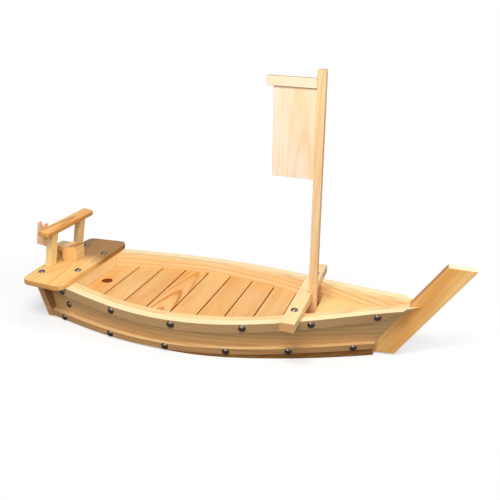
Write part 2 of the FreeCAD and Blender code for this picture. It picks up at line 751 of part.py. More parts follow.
def dome():
    """One nail head, axis up: a dome in flat facets over a flat back."""
    radius = size("nail_radius")
    height = size("nail_height")
    ball = (radius ** 2 + height ** 2) / (2 * height)
    sweep = math.asin(radius / ball)
    rings = []
    for band in range(DOME_BANDS):
        turn = sweep * (1 - band / DOME_BANDS)
        level = FreeCAD.Vector(0, 0, ball * math.cos(turn) - ball + height)
        spokes = [2 * math.pi * spoke / DOME_SIDES for spoke in range(DOME_SIDES + 1)]
        spokes[-1] = 0.0
        rings.append([level + FreeCAD.Vector(math.cos(spoke), math.sin(spoke), 0) * ball * math.sin(turn)
                      for spoke in spokes])
    faces = [Part.Face(Part.makePolygon(rings[0]))]
    for index in range(DOME_SIDES):
        for lower, upper in zip(rings, rings[1:]):
            corners = [lower[index], lower[index + 1], upper[index + 1], upper[index], lower[index]]
            faces.append(Part.Face(Part.makePolygon(corners)))
        crown = [rings[-1][index], rings[-1][index + 1], FreeCAD.Vector(0, 0, height), rings[-1][index]]
        faces.append(Part.Face(Part.makePolygon(crown)))
    return Part.Solid(Part.Shell(faces))


def outer_spot(shape, along, height, side):
    """Outermost point of a hull piece at one place and height."""
    line = Part.makeLine(FreeCAD.Vector(along, side * BEYOND, height), FreeCAD.Vector(along, 0, height))
    return max((vertex.Point for vertex in line.common(shape).Vertexes), key=lambda spot: side * spot.y)


def seated(spot, normal):
    """One nail head standing on a point, along a normal."""
    head = dome()
    base = spot + normal * size("glue_gap")
    head.Placement = FreeCAD.Placement(base, FreeCAD.Rotation(UP, normal))
    return head


def hull_nail(shape, along, height, side):
    """One nail head square to a hull piece's outer face."""
    spot = outer_spot(shape, along, height, side)
    ahead = outer_spot(shape, along + STEP, height, side)
    above = outer_spot(shape, along, height + STEP, side)
    normal = (above - spot).cross(ahead - spot).normalize()
    return seated(spot, normal * (1 if normal.y * side > 0 else -1))


def height_between(alias, along):
    """A station height worked out in a straight line between the two nearest stations."""
    for near, far in zip(STATIONS, STATIONS[1:]):
        start = size(near + "_place")
        end = size(far + "_place")
        if start <= along <= end or far == STATIONS[-1]:
            share = (along - start) / (end - start)
            return size(near + alias) * (1 - share) + size(far + alias) * share


def nail_place(row, place):
    """X of one of the hull's nails, measured from the nearer end of the boat."""
    distance = size("%s_nail_%s" % (row, place))
    return size("transom_foot") + distance if place in AFT_NAILS else size("stem_head") - distance


for hand, sign in SIDES.items():
    heads = []
    for place in AFT_NAILS + FORE_NAILS:
        along = nail_place("upper", place)
        height = height_between("_rim_height", along) - size("rail_height") / 2
        heads.append(hull_nail(rails[hand].Shape, along, height, sign))
        along = nail_place("lower", place)
        height = height_between("_wale_foot", along) + size("wale_height") / 2
        heads.append(hull_nail(wales[hand].Shape, along, height, sign))
    heads.append(hull_nail(planks[hand].Shape, nail_place("plank", "stern"), size("plank_nail_height"), sign))
    keep(solid_feature("hull_nails_" + hand, Part.makeCompound(heads)), "hull_nails_" + hand)

platform_nails = {"aft": size("platform_aft") + size("platform_aft_nail_inset"),
                  "fore": size("platform_fore") - size("platform_fore_nail_inset")}
top_heads = []
for sign in SIDES.values():
    for place, along in platform_nails.items():
        half = sign * size("platform_%s_nail_half" % place)
        top_heads.append(seated(FreeCAD.Vector(along, half, size("platform_top")), UP))
    spot = FreeCAD.Vector(size("thwart_place") + size("thwart_width") / 2,
                          sign * size("thwart_nail_half"), size("thwart_foot") + size("thwart_thickness"))
    top_heads.append(seated(spot, UP))
keep(solid_feature("platform_and_thwart_nails", Part.makeCompound(top_heads)), "platform_and_thwart_nails")

# Check every object, then write one file for each piece

doc.recompute()
for item in doc.Objects:
    if "Invalid" in item.State or "Error" in item.State:
        raise RuntimeError("%s did not build: %s" % (item.Label, item.State))
for piece in nodes:
    if piece.Shape.isNull() or not piece.Shape.isValid():
        raise RuntimeError("%s has no valid shape" % piece.Label)
    if not piece.Shape.Solids:
        raise RuntimeError("%s has no solid" % piece.Label)
for piece in nodes:
    piece.Shape.exportStep("parts/%s.step" % piece.Label)
    box = piece.Shape.BoundBox
    print("%-24s solids %2d  volume %10.1f  x %7.1f %7.1f  y %6.1f %6.1f  z %6.1f %6.1f" % (
        piece.Label, len(piece.Shape.Solids), piece.Shape.Volume,
        box.XMin, box.XMax, box.YMin, box.YMax, box.ZMin, box.ZMax))
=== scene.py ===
"""Wooden serving boat: finishes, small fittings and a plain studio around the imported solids.

Lengths are in metres throughout.
"""

import logging
import math
from abc import ABC, abstractmethod
from dataclasses import dataclass, replace
from enum import Enum
from typing import Any, Iterator, Sequence, Union

import bmesh
import bpy
import numpy as np
from mathutils import Matrix, Vector


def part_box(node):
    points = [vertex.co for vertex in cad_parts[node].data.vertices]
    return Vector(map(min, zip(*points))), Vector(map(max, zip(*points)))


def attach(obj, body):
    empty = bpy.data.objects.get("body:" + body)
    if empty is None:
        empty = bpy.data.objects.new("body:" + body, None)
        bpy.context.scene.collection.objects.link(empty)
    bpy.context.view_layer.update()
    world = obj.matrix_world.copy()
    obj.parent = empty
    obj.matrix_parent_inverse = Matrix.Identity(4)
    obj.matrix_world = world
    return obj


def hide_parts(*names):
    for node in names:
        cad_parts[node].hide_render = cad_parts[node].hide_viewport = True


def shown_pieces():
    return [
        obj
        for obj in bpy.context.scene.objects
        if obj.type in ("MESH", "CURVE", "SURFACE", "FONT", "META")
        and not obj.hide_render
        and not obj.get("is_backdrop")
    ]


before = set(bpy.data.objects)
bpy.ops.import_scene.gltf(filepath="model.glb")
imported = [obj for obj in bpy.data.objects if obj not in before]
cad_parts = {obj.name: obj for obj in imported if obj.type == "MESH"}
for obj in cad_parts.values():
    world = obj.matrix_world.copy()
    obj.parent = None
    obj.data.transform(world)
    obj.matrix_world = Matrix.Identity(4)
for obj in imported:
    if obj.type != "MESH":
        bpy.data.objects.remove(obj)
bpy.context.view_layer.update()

MM = 0.001
BODY = "root"
SIDES = ("port", "starboard")
NAIL_NODES = ("hull_nails_port", "hull_nails_starboard", "platform_and_thwart_nails")
log = logging.getLogger("serving_boat")

# Mesh attributes that the pine reads
GRAIN_SPACE = "grain_space"
END_GRAIN = "end_grain"
# painted shade of each face, darker where shade falls on it
PAINTED_SHADE = "painted_shade"

# Ways that a face with painted shade can point
LENGTHWISE = (1.0, 0.0, 0.0)
OUTBOARD = (0.0, 1.0, 0.0)
UPWARD = (0.0, 0.0, 1.0)

# How squarely a face or the grain points along a direction, as a cosine, to count as turned that way
END_FACING = 0.75
SHADE_FACING = 0.7
LEVEL_FACING = 0.9
UPRIGHT_GRAIN = 0.8

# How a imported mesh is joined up, and how a bent strip is measured
WELD = 0.002 * MM
FLAT_ANGLE = math.radians(0.4)
BEND_DEGREE = 5
BEND_STEPS = 400

Colour = tuple[float, float, float, float]
Point = tuple[float, float, float]
Operand = Union[float, "Signal"]

WHITE: Colour = (1.0, 1.0, 1.0, 1.0)


def tint(red: int, green: int, blue: int) -> Colour:
    """Turn a screen colour into the linear colour that a shader takes.

    Args:
        red: red from 0 to 255.
        green: green from 0 to 255.
        blue: blue from 0 to 255.

    Returns:
        The linear colour, opaque.
    """
    shares = [channel / 255 for channel in (red, green, blue)]
    linear = [s / 12.92 if s <= 0.04045 else ((s + 0.055) / 1.055) ** 2.4 for s in shares]
    return (linear[0], linear[1], linear[2], 1.0)


def grey(level: float) -> Colour:
    """An opaque grey of a given level."""
    return (level, level, level, 1.0)


@dataclass(frozen=True)
class Layer:
    """One layer of noise, which can be drawn out along the grain.

    Attributes:
        stretch: how many features a metre holds along, across and above the grain.
        detail: how many finer layers are added.
        gain: how much the noise is strengthened.
        lift: what is then added, so that more or less of it stays above zero.
    """

    stretch: Point
    detail: float = 2.0
    gain: float = 1.0
    lift: float = 0.0


SWAY = Layer((5.0, 22.0, 22.0))
WAVER = Layer((16.0, 110.0, 110.0))
FIBRES = Layer((28.0, 900.0, 900.0), detail=3.0)
STREAKS = Layer((9.0, 260.0, 260.0), gain=1.6, lift=0.3)
BROAD = Layer((10.0, 42.0, 42.0), detail=1.0, gain=2.6, lift=0.45)
PORES = Layer((60.0, 1500.0, 1500.0), detail=1.0, gain=6.0, lift=-1.4)
# Wobble along the edge of the painted shade over the wood to port
PORT_SHADE_WOBBLE = Layer((40.0, 8.0, 40.0), gain=0.03)
POLISHING = Layer((900.0, 900.0, 900.0), detail=3.0)
CUT_FIBRES = Layer((2600.0, 2600.0, 2600.0))


@dataclass(frozen=True)
class Marks:
    """How strongly rings, fibres, pores and end grain mark one quality of the wood; pores take away."""

    rings: float = 0.0
    fibres: float = 0.0
    pores: float = 0.0
    ends: float = 0.0


BRIGHTNESS = Marks(fibres=0.2, pores=0.35)
RELIEF = Marks(rings=0.5, fibres=0.7, pores=0.6)
DULLNESS = Marks(rings=0.08, fibres=0.1, ends=0.12)

# One year's growth: places across a ring, with how dark the wood is there
YEAR = ((0.0, 0.12), (0.3, 0.0), (0.62, 0.22), (0.86, 1.0), (0.94, 0.75), (1.0, 0.12))
FAINTEST_YEAR = 0.4


class Signal:
    """One output of a shader tree, with arithmetic that adds Math nodes."""

    def __init__(self, paint: "Paint", socket: bpy.types.NodeSocket) -> None:
        """Wrap a socket of a paint's tree."""
        self.paint = paint
        self.socket = socket

    def output(self, key: Union[int, str]) -> "Signal":
        """Another output of the same node."""
        return Signal(self.paint, self.socket.node.outputs[key])

    def _math(self, operation: str, *operands: Operand) -> "Signal":
        """Add a Math node that works on numbers or signals."""
        return self.paint.node("ShaderNodeMath", {"operation": operation}, dict(enumerate(operands)))

    def __add__(self, other: Operand) -> "Signal":
        """Sum of this signal and another value."""
        return self._math("ADD", self, other)

    def __radd__(self, other: Operand) -> "Signal":
        """Sum of a value and this signal."""
        return self._math("ADD", other, self)

    def __sub__(self, other: Operand) -> "Signal":
        """This signal less another value."""
        return self._math("SUBTRACT", self, other)

    def __rsub__(self, other: Operand) -> "Signal":
        """A value less this signal."""
        return self._math("SUBTRACT", other, self)

    def __mul__(self, other: Operand) -> "Signal":
        """Product of this signal and another value."""
        return self._math("MULTIPLY", self, other)

    def __rmul__(self, other: Operand) -> "Signal":
        """Product of a value and this signal."""
        return self._math("MULTIPLY", other, self)

    def __truediv__(self, other: Operand) -> "Signal":
        """This signal divided by another value."""
        return self._math("DIVIDE", self, other)

    def __rtruediv__(self, other: Operand) -> "Signal":
        """A value divided by this signal."""
        return self._math("DIVIDE", other, self)

    def __pow__(self, other: Operand) -> "Signal":
        """This signal raised to a power."""
        return self._math("POWER", self, other)

    def __rpow__(self, other: Operand) -> "Signal":
        """A value raised to this signal."""
        return self._math("POWER", other, self)

    def larger(self, other: Operand) -> "Signal":
        """The larger of this signal and another value."""
        return self._math("MAXIMUM", self, other)

    def fraction(self) -> "Signal":
        """What is left past the last whole number."""
        return self._math("FRACT", self)

    def whole(self) -> "Signal":
        """The last whole number below this signal."""
        return self._math("FLOOR", self)


class Paint:
    """The shader tree of one material or world, and the nodes that fill it."""

    def __init__(self, owner: Union[bpy.types.Material, bpy.types.World]) -> None:
        """Empty the owner's tree.

        Args:
            owner: the material or the world that the nodes are for.
        """
        owner.use_nodes = True
        self.owner = owner
        self.tree = owner.node_tree
        self.tree.nodes.clear()

    def node(
        self,
        kind: str,
        settings: dict[str, Any] | None = None,
        sockets: dict[Any, Any] | None = None,
        output: Union[int, str] = 0,
    ) -> Signal:
        """Add any node.

        Args:
            kind: the node's type.
            settings: its properties, with a ramp's stops under "stops".
            sockets: values or signals for its inputs, by name or number.
            output: which output the signal stands for.

        Returns:
            A signal for that output.
        """
        made = self.tree.nodes.new(kind)
        for name, value in (settings or {}).items():
            if name == "stops":
                self._set_stops(made.color_ramp, value)
            else:
                setattr(made, name, value)
        for key, value in (sockets or {}).items():
            if isinstance(value, Signal):
                self.tree.links.new(value.socket, made.inputs[key])
            else:
                made.inputs[key].default_value = value
        return Signal(self, made.outputs[output] if made.outputs else made.inputs[0])

    @staticmethod
    def _set_stops(ramp: bpy.types.ColorRamp, stops: Sequence[tuple[float, float]]) -> None:
        """Give a ramp grey stops.

        Args:
            ramp: the ramp to fill.
            stops: pairs of place and level.
        """
        while len(ramp.elements) < len(stops):
            ramp.elements.new(1.0)
        for element, (place, level) in zip(ramp.elements, stops):
            element.position = place
            element.color = grey(level)

    def noise(self, space: Signal, layer: Layer) -> Signal:
        """Noise about zero.

        Args:
            space: the coordinates.
            layer: how the noise is drawn out.

        Returns:
            Noise from about -0.5 to 0.5.
        """
        scaled = self.node("ShaderNodeVectorMath", {"operation": "MULTIPLY"}, {0: space, 1: layer.stretch})
        sockets = {"Vector": scaled, "Scale": 1.0, "Detail": layer.detail}
        return self.node("ShaderNodeTexNoise", {"noise_dimensions": "3D"}, sockets) - 0.5

    def patches(self, space: Signal, layer: Layer) -> Signal:
        """Separate patches: strengthened noise with nothing below zero."""
        return (self.noise(space, layer) * layer.gain + layer.lift).larger(0.0)

    def blend(self, share: Operand, first: Any, second: Any, kind: str = "MIX") -> Signal:
        """Mix two colours.

        Args:
            share: how much of the second colour.
            first: the first colour or signal.
            second: the second colour or signal.
            kind: the blend type.

        Returns:
            The mixed colour.
        """
        settings = {"data_type": "RGBA", "blend_type": kind}
        return self.node("ShaderNodeMix", settings, {0: share, 6: first, 7: second}, output=2)

    def brightened(self, colour: Signal, level: Operand) -> Signal:
        """Scale a colour by a level."""
        return self.node("ShaderNodeVectorMath", {"operation": "SCALE"}, {0: colour, "Scale": level})

    def finish(self, shader: Signal) -> bpy.types.Material:
        """Send a shader to the surface and hand over the material."""
        self.node("ShaderNodeOutputMaterial", sockets={"Surface": shader})
        return self.owner


class Finish(ABC):
    """A finish whose material is made once and shared by all its pieces."""

    name: str

    @abstractmethod
    def shader(self, paint: Paint) -> Signal:
        """Add the finish's nodes to a paint and hand over their shader."""

    def material(self) -> bpy.types.Material:
        """The finish's material, made at the first call.

        Returns:
            The material with this finish's name.
        """
        known = bpy.data.materials.get(self.name)
        if known:
            return known
        paint = Paint(bpy.data.materials.new(self.name))
        return paint.finish(self.shader(paint))


@dataclass(frozen=True)
class Pine(Finish):
    """Lacquered pine, with growth rings about the piece's own pith.

    Attributes:
        name: name of the material.
        early: colour of the pale spring wood.
        late: colour of the darker summer rings.
        warm: colour of the broad warmer patches.
        end: colour of the end grain.
        ring: width of one year's growth.
        taper: how fast the rings widen along the piece.
        wander: how far the rings sway over a hand's length.
        ripple: how far they waver over a finger's width.
        contrast: strength of the rings.
        patches: strength of the warmer patches.
        streaks: strength of the long streaks, as a share of the contrast.
        end_share: how far the end grain takes its own colour.
        shade_brown: what faces in full painted shade multiply their colour by.
        port_painted_shade: how strongly painted shade darkens the wood to port.
        port_shade_brown: what wood to port in full painted shade multiplies its colour by.
        port_shade_edge: where that painted shade begins across the boat, and where it is full.
        roughness: roughness of the lacquer over spring wood.
        coat: weight of the clear lacquer.
    """

    name: str
    early: Colour
    late: Colour
    warm: Colour
    end: Colour = tint(204, 140, 76)
    ring: float = 2.3 * MM
    taper: float = 0.02
    wander: float = 5.0 * MM
    ripple: float = 0.7 * MM
    contrast: float = 0.5
    patches: float = 0.5
    streaks: float = 0.35
    end_share: float = 0.6
    shade_brown: Colour = (0.48, 0.25, 0.11, 1.0)
    port_painted_shade: float = 0.0
    port_shade_brown: Colour = (0.38, 0.29, 0.16, 1.0)
    port_shade_edge: tuple[float, float] = (-15 * MM, 30 * MM)
    roughness: float = 0.38
    coat: float = 0.08

    def shader(self, paint: Paint) -> Signal:
        """Ringed, fibrous wood under a clear lacquer.

        Args:
            paint: the paint that takes the nodes.

        Returns:
            The shader of the surface.
        """
        space = paint.node("ShaderNodeAttribute", {"attribute_name": GRAIN_SPACE}, output="Vector")
        ends = paint.node("ShaderNodeAttribute", {"attribute_name": END_GRAIN}, output="Fac")
        summer = self._rings(paint, space)
        fibres = paint.noise(space, FIBRES)
        pores = paint.patches(space, PORES)
        streaks = paint.patches(space, STREAKS) * self.contrast * self.streaks
        broad = paint.patches(space, BROAD) * self.patches
        wood = paint.blend(summer * self.contrast, self.early, self.late)
        wood = paint.blend(broad, wood, self.warm)
        wood = paint.blend(streaks, wood, self.late)
        wood = paint.blend(ends * self.end_share, wood, self.end)
        wood = paint.brightened(wood, 1.0 + fibres * BRIGHTNESS.fibres - pores * BRIGHTNESS.pores)
        # Painted shade: the faces that the timber marks are multiplied towards a dark brown
        painted_shade = paint.node("ShaderNodeAttribute", {"attribute_name": PAINTED_SHADE}, output="Fac")
        wood = paint.blend(painted_shade, wood, self.shade_brown, "MULTIPLY")
        # Painted shade laid over the wood to port
        if self.port_painted_shade:
            wood = paint.blend(self._port_shade(paint) * self.port_painted_shade, wood, self.port_shade_brown, "MULTIPLY")
        height = summer * RELIEF.rings + fibres * RELIEF.fibres - pores * RELIEF.pores
        relief = {"Strength": 0.12, "Distance": 0.25 * MM, "Height": height}
        dullness = summer * DULLNESS.rings + fibres * DULLNESS.fibres + ends * DULLNESS.ends
        return paint.node(
            "ShaderNodeBsdfPrincipled",
            sockets={
                "Base Color": wood,
                "Roughness": dullness + self.roughness,
                "Normal": paint.node("ShaderNodeBump", sockets=relief),
                "Coat Weight": self.coat,
                "Coat Roughness": 0.16,
                "IOR": 1.48,
                "Specular IOR Level": 0.14,
            },
        )

    def _rings(self, paint: Paint, space: Signal) -> Signal:
        """Dark bands of summer wood.

        Args:
            paint: the paint that takes the nodes.
            space: coordinates along, across and above the pith.

        Returns:
            Zero in spring wood, up to one in a strong summer ring.
        """
        axes = paint.node("ShaderNodeSeparateXYZ", sockets={"Vector": space})
        along, across, above = axes, axes.output(1), axes.output(2)
        sway = paint.noise(space, SWAY) * self.wander
        waver = paint.noise(space, WAVER) * self.ripple
        radius = (across * across + above * above) ** 0.5
        years = (radius + along * self.taper + sway + waver) / self.ring
        band = paint.node("ShaderNodeValToRGB", {"stops": YEAR}, {"Fac": years.fraction()})
        season = paint.node("ShaderNodeTexWhiteNoise", {"noise_dimensions": "1D"}, {"W": years.whole()})
        return band * (season * (1.0 - FAINTEST_YEAR) + FAINTEST_YEAR)

    def _port_shade(self, paint: Paint) -> Signal:
        """Where the painted shade over the wood to port lies.

        Args:
            paint: the paint that takes the nodes.

        Returns:
            Zero to starboard, rising across the boat's middle to one to port.
        """
        place = paint.node("ShaderNodeTexCoord", output="Object")
        across = paint.node("ShaderNodeSeparateXYZ", sockets={"Vector": place}, output="Y")
        wobble = paint.noise(place, PORT_SHADE_WOBBLE) * PORT_SHADE_WOBBLE.gain
        return paint.node(
            "ShaderNodeMapRange",
            {"interpolation_type": "SMOOTHSTEP"},
            {"Value": across + wobble, "From Min": self.port_shade_edge[0], "From Max": self.port_shade_edge[1]},
        )


@dataclass(frozen=True)
class Chrome(Finish):
    """Dark polished metal of the dome nails.

    Attributes:
        name: name of the material.
        face: colour that the metal mirrors with.
        roughness: how far its mirror is blurred.
        marks: how much more or less the polishing marks blur it.
    """

    name: str = "dark_chrome"
    face: Colour = tint(106, 96, 89)
    roughness: float = 0.05
    marks: float = 0.03

    def shader(self, paint: Paint) -> Signal:
        """The metal with faint polishing marks.

        Args:
            paint: the paint that takes the nodes.

        Returns:
            The shader of the surface.
        """
        place = paint.node("ShaderNodeTexCoord", output="Object")
        roughness = paint.noise(place, POLISHING) * self.marks + self.roughness
        sockets = {"Base Color": self.face, "Metallic": 1.0, "Roughness": roughness}
        return paint.node("ShaderNodeBsdfPrincipled", sockets=sockets)


@dataclass(frozen=True)
class PinEnd(Finish):
    """End grain of a small wooden pin, darker than the timber round it.

    Attributes:
        name: name of the material.
        face: colour of the pin.
        fibres: colour of its cut fibres.
        roughness: roughness of its face.
        marks: how much rougher or smoother the fibres make it.
    """

    name: str = "pin_end"
    face: Colour = tint(176, 118, 66)
    fibres: Colour = tint(120, 74, 38)
    roughness: float = 0.5
    marks: float = 0.2

    def shader(self, paint: Paint) -> Signal:
        """The pin's end, mottled like cut fibres.

        Args:
            paint: the paint that takes the nodes.

        Returns:
            The shader of the surface.
        """
        place = paint.node("ShaderNodeTexCoord", output="Object")
        mottle = paint.noise(place, CUT_FIBRES)
        shade = paint.blend(mottle + 0.5, self.face, self.fibres)
        sockets = {"Base Color": shade, "Roughness": mottle * self.marks + self.roughness}
        return paint.node("ShaderNodeBsdfPrincipled", sockets=sockets)


RIM_PINE = Pine(
    name="rim_pine",
    early=tint(242, 222, 176),
    late=tint(216, 172, 110),
    warm=tint(230, 194, 140),
    end=tint(206, 150, 90),
    contrast=0.45,
    patches=0.3,
)
PLANK_PINE = Pine(
    name="plank_pine",
    early=tint(242, 207, 150),
    late=tint(190, 130, 70),
    warm=tint(222, 170, 110),
    end=tint(196, 136, 80),
    ring=6.5 * MM,
    wander=9.0 * MM,
    contrast=0.6,
    patches=0.25,
)
# The bottom board and transom take a deeper brown for their painted shade
BOARD_PINE = replace(PLANK_PINE, name="board_pine", shade_brown=(0.34, 0.23, 0.13, 1.0))
DECK_PINE = Pine(
    name="deck_pine",
    early=tint(236, 190, 124),
    late=tint(176, 100, 36),
    warm=tint(222, 152, 76),
    contrast=0.7,
)
PALE_DECK_PINE = replace(DECK_PINE, name="pale_deck_pine", early=tint(237, 192, 126), contrast=0.6)
WARM_DECK_PINE = replace(DECK_PINE, name="warm_deck_pine", early=tint(234, 184, 116), patches=0.65)
FIGURED_PINE = replace(
    DECK_PINE,
    name="figured_deck_pine",
    late=tint(190, 104, 14),
    warm=tint(228, 154, 64),
    ring=5.2 * MM,
    taper=0.08,
    wander=9.0 * MM,
    contrast=1.3,
    patches=0.7,
)
FOREDECK_PINE = Pine(
    name="foredeck_pine",
    early=tint(234, 207, 143),
    late=tint(200, 136, 64),
    warm=tint(228, 182, 112),
)
BULKHEAD_PINE = Pine(
    name="bulkhead_pine",
    early=tint(255, 232, 176),
    late=tint(218, 156, 88),
    warm=tint(252, 212, 146),
)
PLATFORM_PINE = Pine(
    name="platform_pine",
    early=tint(240, 198, 126),
    late=tint(204, 136, 66),
    warm=tint(232, 170, 92),
    # painted shade over the platform towards port
    port_painted_shade=1.0,
)
STEM_PINE = Pine(
    name="stem_pine",
    early=tint(250, 202, 128),
    late=tint(214, 142, 68),
    warm=tint(230, 158, 80),
    # The near-white end grain is a painted highlight on the stem's head
    end=tint(255, 246, 232),
    ring=5.5 * MM,
    contrast=0.35,
    patches=0.8,
    # Its brown is for the painted shade on its aft face
    shade_brown=(0.42, 0.27, 0.17, 1.0),
)
THWART_PINE = Pine(
    name="thwart_pine",
    early=tint(240, 214, 164),
    late=tint(212, 152, 84),
    warm=tint(234, 192, 130),
    end=tint(190, 122, 58),
    contrast=0.45,
)
MAST_PINE = Pine(
    name="mast_pine",
    early=tint(240, 208, 164),
    late=tint(220, 160, 96),
    warm=tint(234, 182, 122),
)
FLAG_PINE = Pine(
    name="flag_pine",
    early=tint(243, 225, 200),
    late=tint(222, 166, 100),
    warm=tint(241, 196, 138),
    contrast=0.42,
    patches=0.6,
)
# The yard takes a greyer brown for its painted shade
YARD_PINE = replace(FLAG_PINE, name="yard_pine", contrast=0.2, shade_brown=(0.3, 0.24, 0.18, 1.0))
POST_PINE = Pine(
    name="post_pine",
    early=tint(255, 230, 172),
    late=tint(226, 162, 90),
    warm=tint(246, 196, 126),
)
BEAM_PINE = Pine(
    name="beam_pine",
    early=tint(234, 180, 104),
    late=tint(154, 86, 32),
    warm=tint(222, 158, 84),
    end=tint(224, 162, 92),
    contrast=0.9,
)
REST_PINE = Pine(
    name="rest_pine",
    early=tint(246, 200, 160),
    late=tint(224, 150, 108),
    warm=tint(240, 178, 138),
    contrast=0.6,
)
BLOCK_PINE = Pine(
    name="block_pine",
    early=tint(255, 220, 154),
    late=tint(150, 78, 24),
    warm=tint(250, 198, 122),
    end=tint(246, 190, 118),
    ring=3.7 * MM,
    wander=2.0 * MM,
    ripple=0.2 * MM,
    contrast=1.0,
    patches=0.1,
)


def welded(node: str) -> bmesh.types.BMesh:
    """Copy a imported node's mesh and join its split corners.

    Args:
        node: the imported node.

    Returns:
        The copy.
    """
    shape = bmesh.new()
    shape.from_mesh(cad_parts[node].data)
    bmesh.ops.remove_doubles(shape, verts=shape.verts, dist=WELD)
    return shape


def as_piece(name: str, shape: bmesh.types.BMesh, finish: Finish) -> bpy.types.Object:
    """Put a finished shape into the scene.

    Args:
        name: name of the piece.
        shape: its shape.
        finish: its finish.

    Returns:
        The new object.
    """
    mesh = bpy.data.meshes.new(name)
    shape.to_mesh(mesh)
    shape.free()
    mesh.materials.append(finish.material())
    piece = bpy.data.objects.new(name, mesh)
    bpy.context.scene.collection.objects.link(piece)
    return piece


class Grain(Enum):
    """Which way a piece's grain runs."""

    LONG_EDGE = "along its longest straight edge"
    FORE_AND_AFT = "along the boat"
    ATHWART = "across the boat"
    BENT = "along the curve of the side"


@dataclass
class Timber:
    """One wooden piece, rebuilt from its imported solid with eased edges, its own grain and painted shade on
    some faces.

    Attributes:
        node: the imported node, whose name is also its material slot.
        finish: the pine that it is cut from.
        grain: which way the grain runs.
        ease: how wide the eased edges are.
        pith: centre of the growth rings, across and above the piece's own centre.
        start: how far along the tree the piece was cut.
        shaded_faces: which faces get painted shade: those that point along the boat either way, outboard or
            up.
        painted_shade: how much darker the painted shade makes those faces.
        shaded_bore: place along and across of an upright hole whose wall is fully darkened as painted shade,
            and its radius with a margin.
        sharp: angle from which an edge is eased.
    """

    node: str
    finish: Pine
    grain: Grain = Grain.LONG_EDGE
    ease: float = 0.6 * MM
    pith: tuple[float, float] = (0.02, -0.06)
    start: float = 0.0
    shaded_faces: Point = (0.0, 0.0, 0.0)
    painted_shade: float = 0.0
    shaded_bore: tuple[float, float, float] | None = None
    sharp: float = math.radians(25)

    def build(self) -> bpy.types.Object:
        """Make the piece and dress it.

        Returns:
            The new object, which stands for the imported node.
        """
        shape = welded(self.node)
        if self.grain is not Grain.BENT:
            bmesh.ops.dissolve_limit(shape, angle_limit=FLAT_ANGLE, verts=shape.verts, edges=shape.edges)
        shape.normal_update()
        direction = self._longest_edge(shape)
        self._ease_edges(shape)
        piece = as_piece(f"{self.node}_timber", shape, self.finish)
        piece.data.shade_smooth()
        self._lay_grain(piece.data, direction)
        self._lay_painted_shade(piece.data)
        settle = piece.modifiers.new("even_faces", "WEIGHTED_NORMAL")
        settle.weight = 100
        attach(piece, BODY)
        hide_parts(self.node)
        return piece

    @staticmethod
    def _longest_edge(shape: bmesh.types.BMesh) -> Vector:
        """Direction of the longest straight edge."""
        edge = max(shape.edges, key=lambda item: item.calc_length())
        return (edge.verts[1].co - edge.verts[0].co).normalized()

    def _ease_edges(self, shape: bmesh.types.BMesh) -> None:
        """Round every sharp edge a little, as sanding does.

        Args:
            shape: the shape to round.
        """
        corners = [e for e in shape.edges if len(e.link_faces) == 2 and e.calc_face_angle() > self.sharp]
        bmesh.ops.bevel(
            shape,
            geom=corners,
            offset=self.ease,
            offset_type="OFFSET",
            segments=3,
            profile=0.5,
            affect="EDGES",
            clamp_overlap=True,
        )

    def _lay_grain(self, mesh: bpy.types.Mesh, direction: Vector) -> None:
        """Store each point's place in the tree, and which faces show end grain.

        Args:
            mesh: the piece's mesh.
            direction: the longest edge's direction.
        """
        spots = np.empty(len(mesh.vertices) * 3)
        mesh.vertices.foreach_get("co", spots)
        spots = spots.reshape(-1, 3)
        if self.grain is Grain.BENT:
            places, headings = self._bent_places(spots)
        else:
            places, headings = self._straight_places(spots, self._heading(direction))
        places += np.array([self.start, -self.pith[0], -self.pith[1]])
        space = mesh.attributes.new(GRAIN_SPACE, "FLOAT_VECTOR", "POINT")
        space.data.foreach_set("vector", places.astype(np.float32).ravel())
        ends = mesh.attributes.new(END_GRAIN, "FLOAT", "FACE")
        for face in mesh.polygons:
            heading = Vector(headings[face.vertices[0]])
            ends.data[face.index].value = 1.0 if abs(face.normal.dot(heading)) > END_FACING else 0.0

    def _lay_painted_shade(self, mesh: bpy.types.Mesh) -> None:
        """Store each face's painted shade, by the way that it points, with a bored wall in full painted
        shade.

        Args:
            mesh: the piece's mesh.
        """
        shade_values = mesh.attributes.new(PAINTED_SHADE, "FLOAT", "FACE")
        # Painted shade on faces that point the chosen ways, and full painted shade on a bored wall
        for face in mesh.polygons:
            facing = abs(face.normal.x) * self.shaded_faces[0]
            facing += max(self._outboard(face), 0.0) * self.shaded_faces[1]
            facing += max(face.normal.z, 0.0) * self.shaded_faces[2]
            if facing > SHADE_FACING:
                shade_values.data[face.index].value = self.painted_shade
            if self.shaded_bore and abs(face.normal.z) < LEVEL_FACING:
                away = math.hypot(face.center.x - self.shaded_bore[0], face.center.y - self.shaded_bore[1])
                if away < self.shaded_bore[2]:
                    shade_values.data[face.index].value = 1.0

    @staticmethod
    def _outboard(face: bpy.types.MeshPolygon) -> float:
        """How far a face points away from the boat's middle plane."""
        return face.normal.y * math.copysign(1.0, face.center.y)

    def _heading(self, direction: Vector) -> Vector:
        """The grain's direction in a straight piece."""
        fixed = {Grain.FORE_AND_AFT: Vector((1, 0, 0)), Grain.ATHWART: Vector((0, 1, 0))}
        return fixed.get(self.grain, direction)

    @staticmethod
    def _straight_places(spots: np.ndarray, heading: Vector) -> tuple[np.ndarray, np.ndarray]:
        """Places along, across and above the centre of a straight piece.

        Args:
            spots: the mesh's points.
            heading: the grain's direction.

        Returns:
            The places, and the grain's direction at each point.
        """
        helper = Vector((0, 0, 1)) if abs(heading.z) < UPRIGHT_GRAIN else Vector((1, 0, 0))
        across = heading.cross(helper).normalized()
        above = across.cross(heading).normalized()
        turn = np.array([heading, across, above])
        centre = (spots.min(0) + spots.max(0)) / 2
        return (spots - centre) @ turn.T, np.tile(np.array(heading), (len(spots), 1))

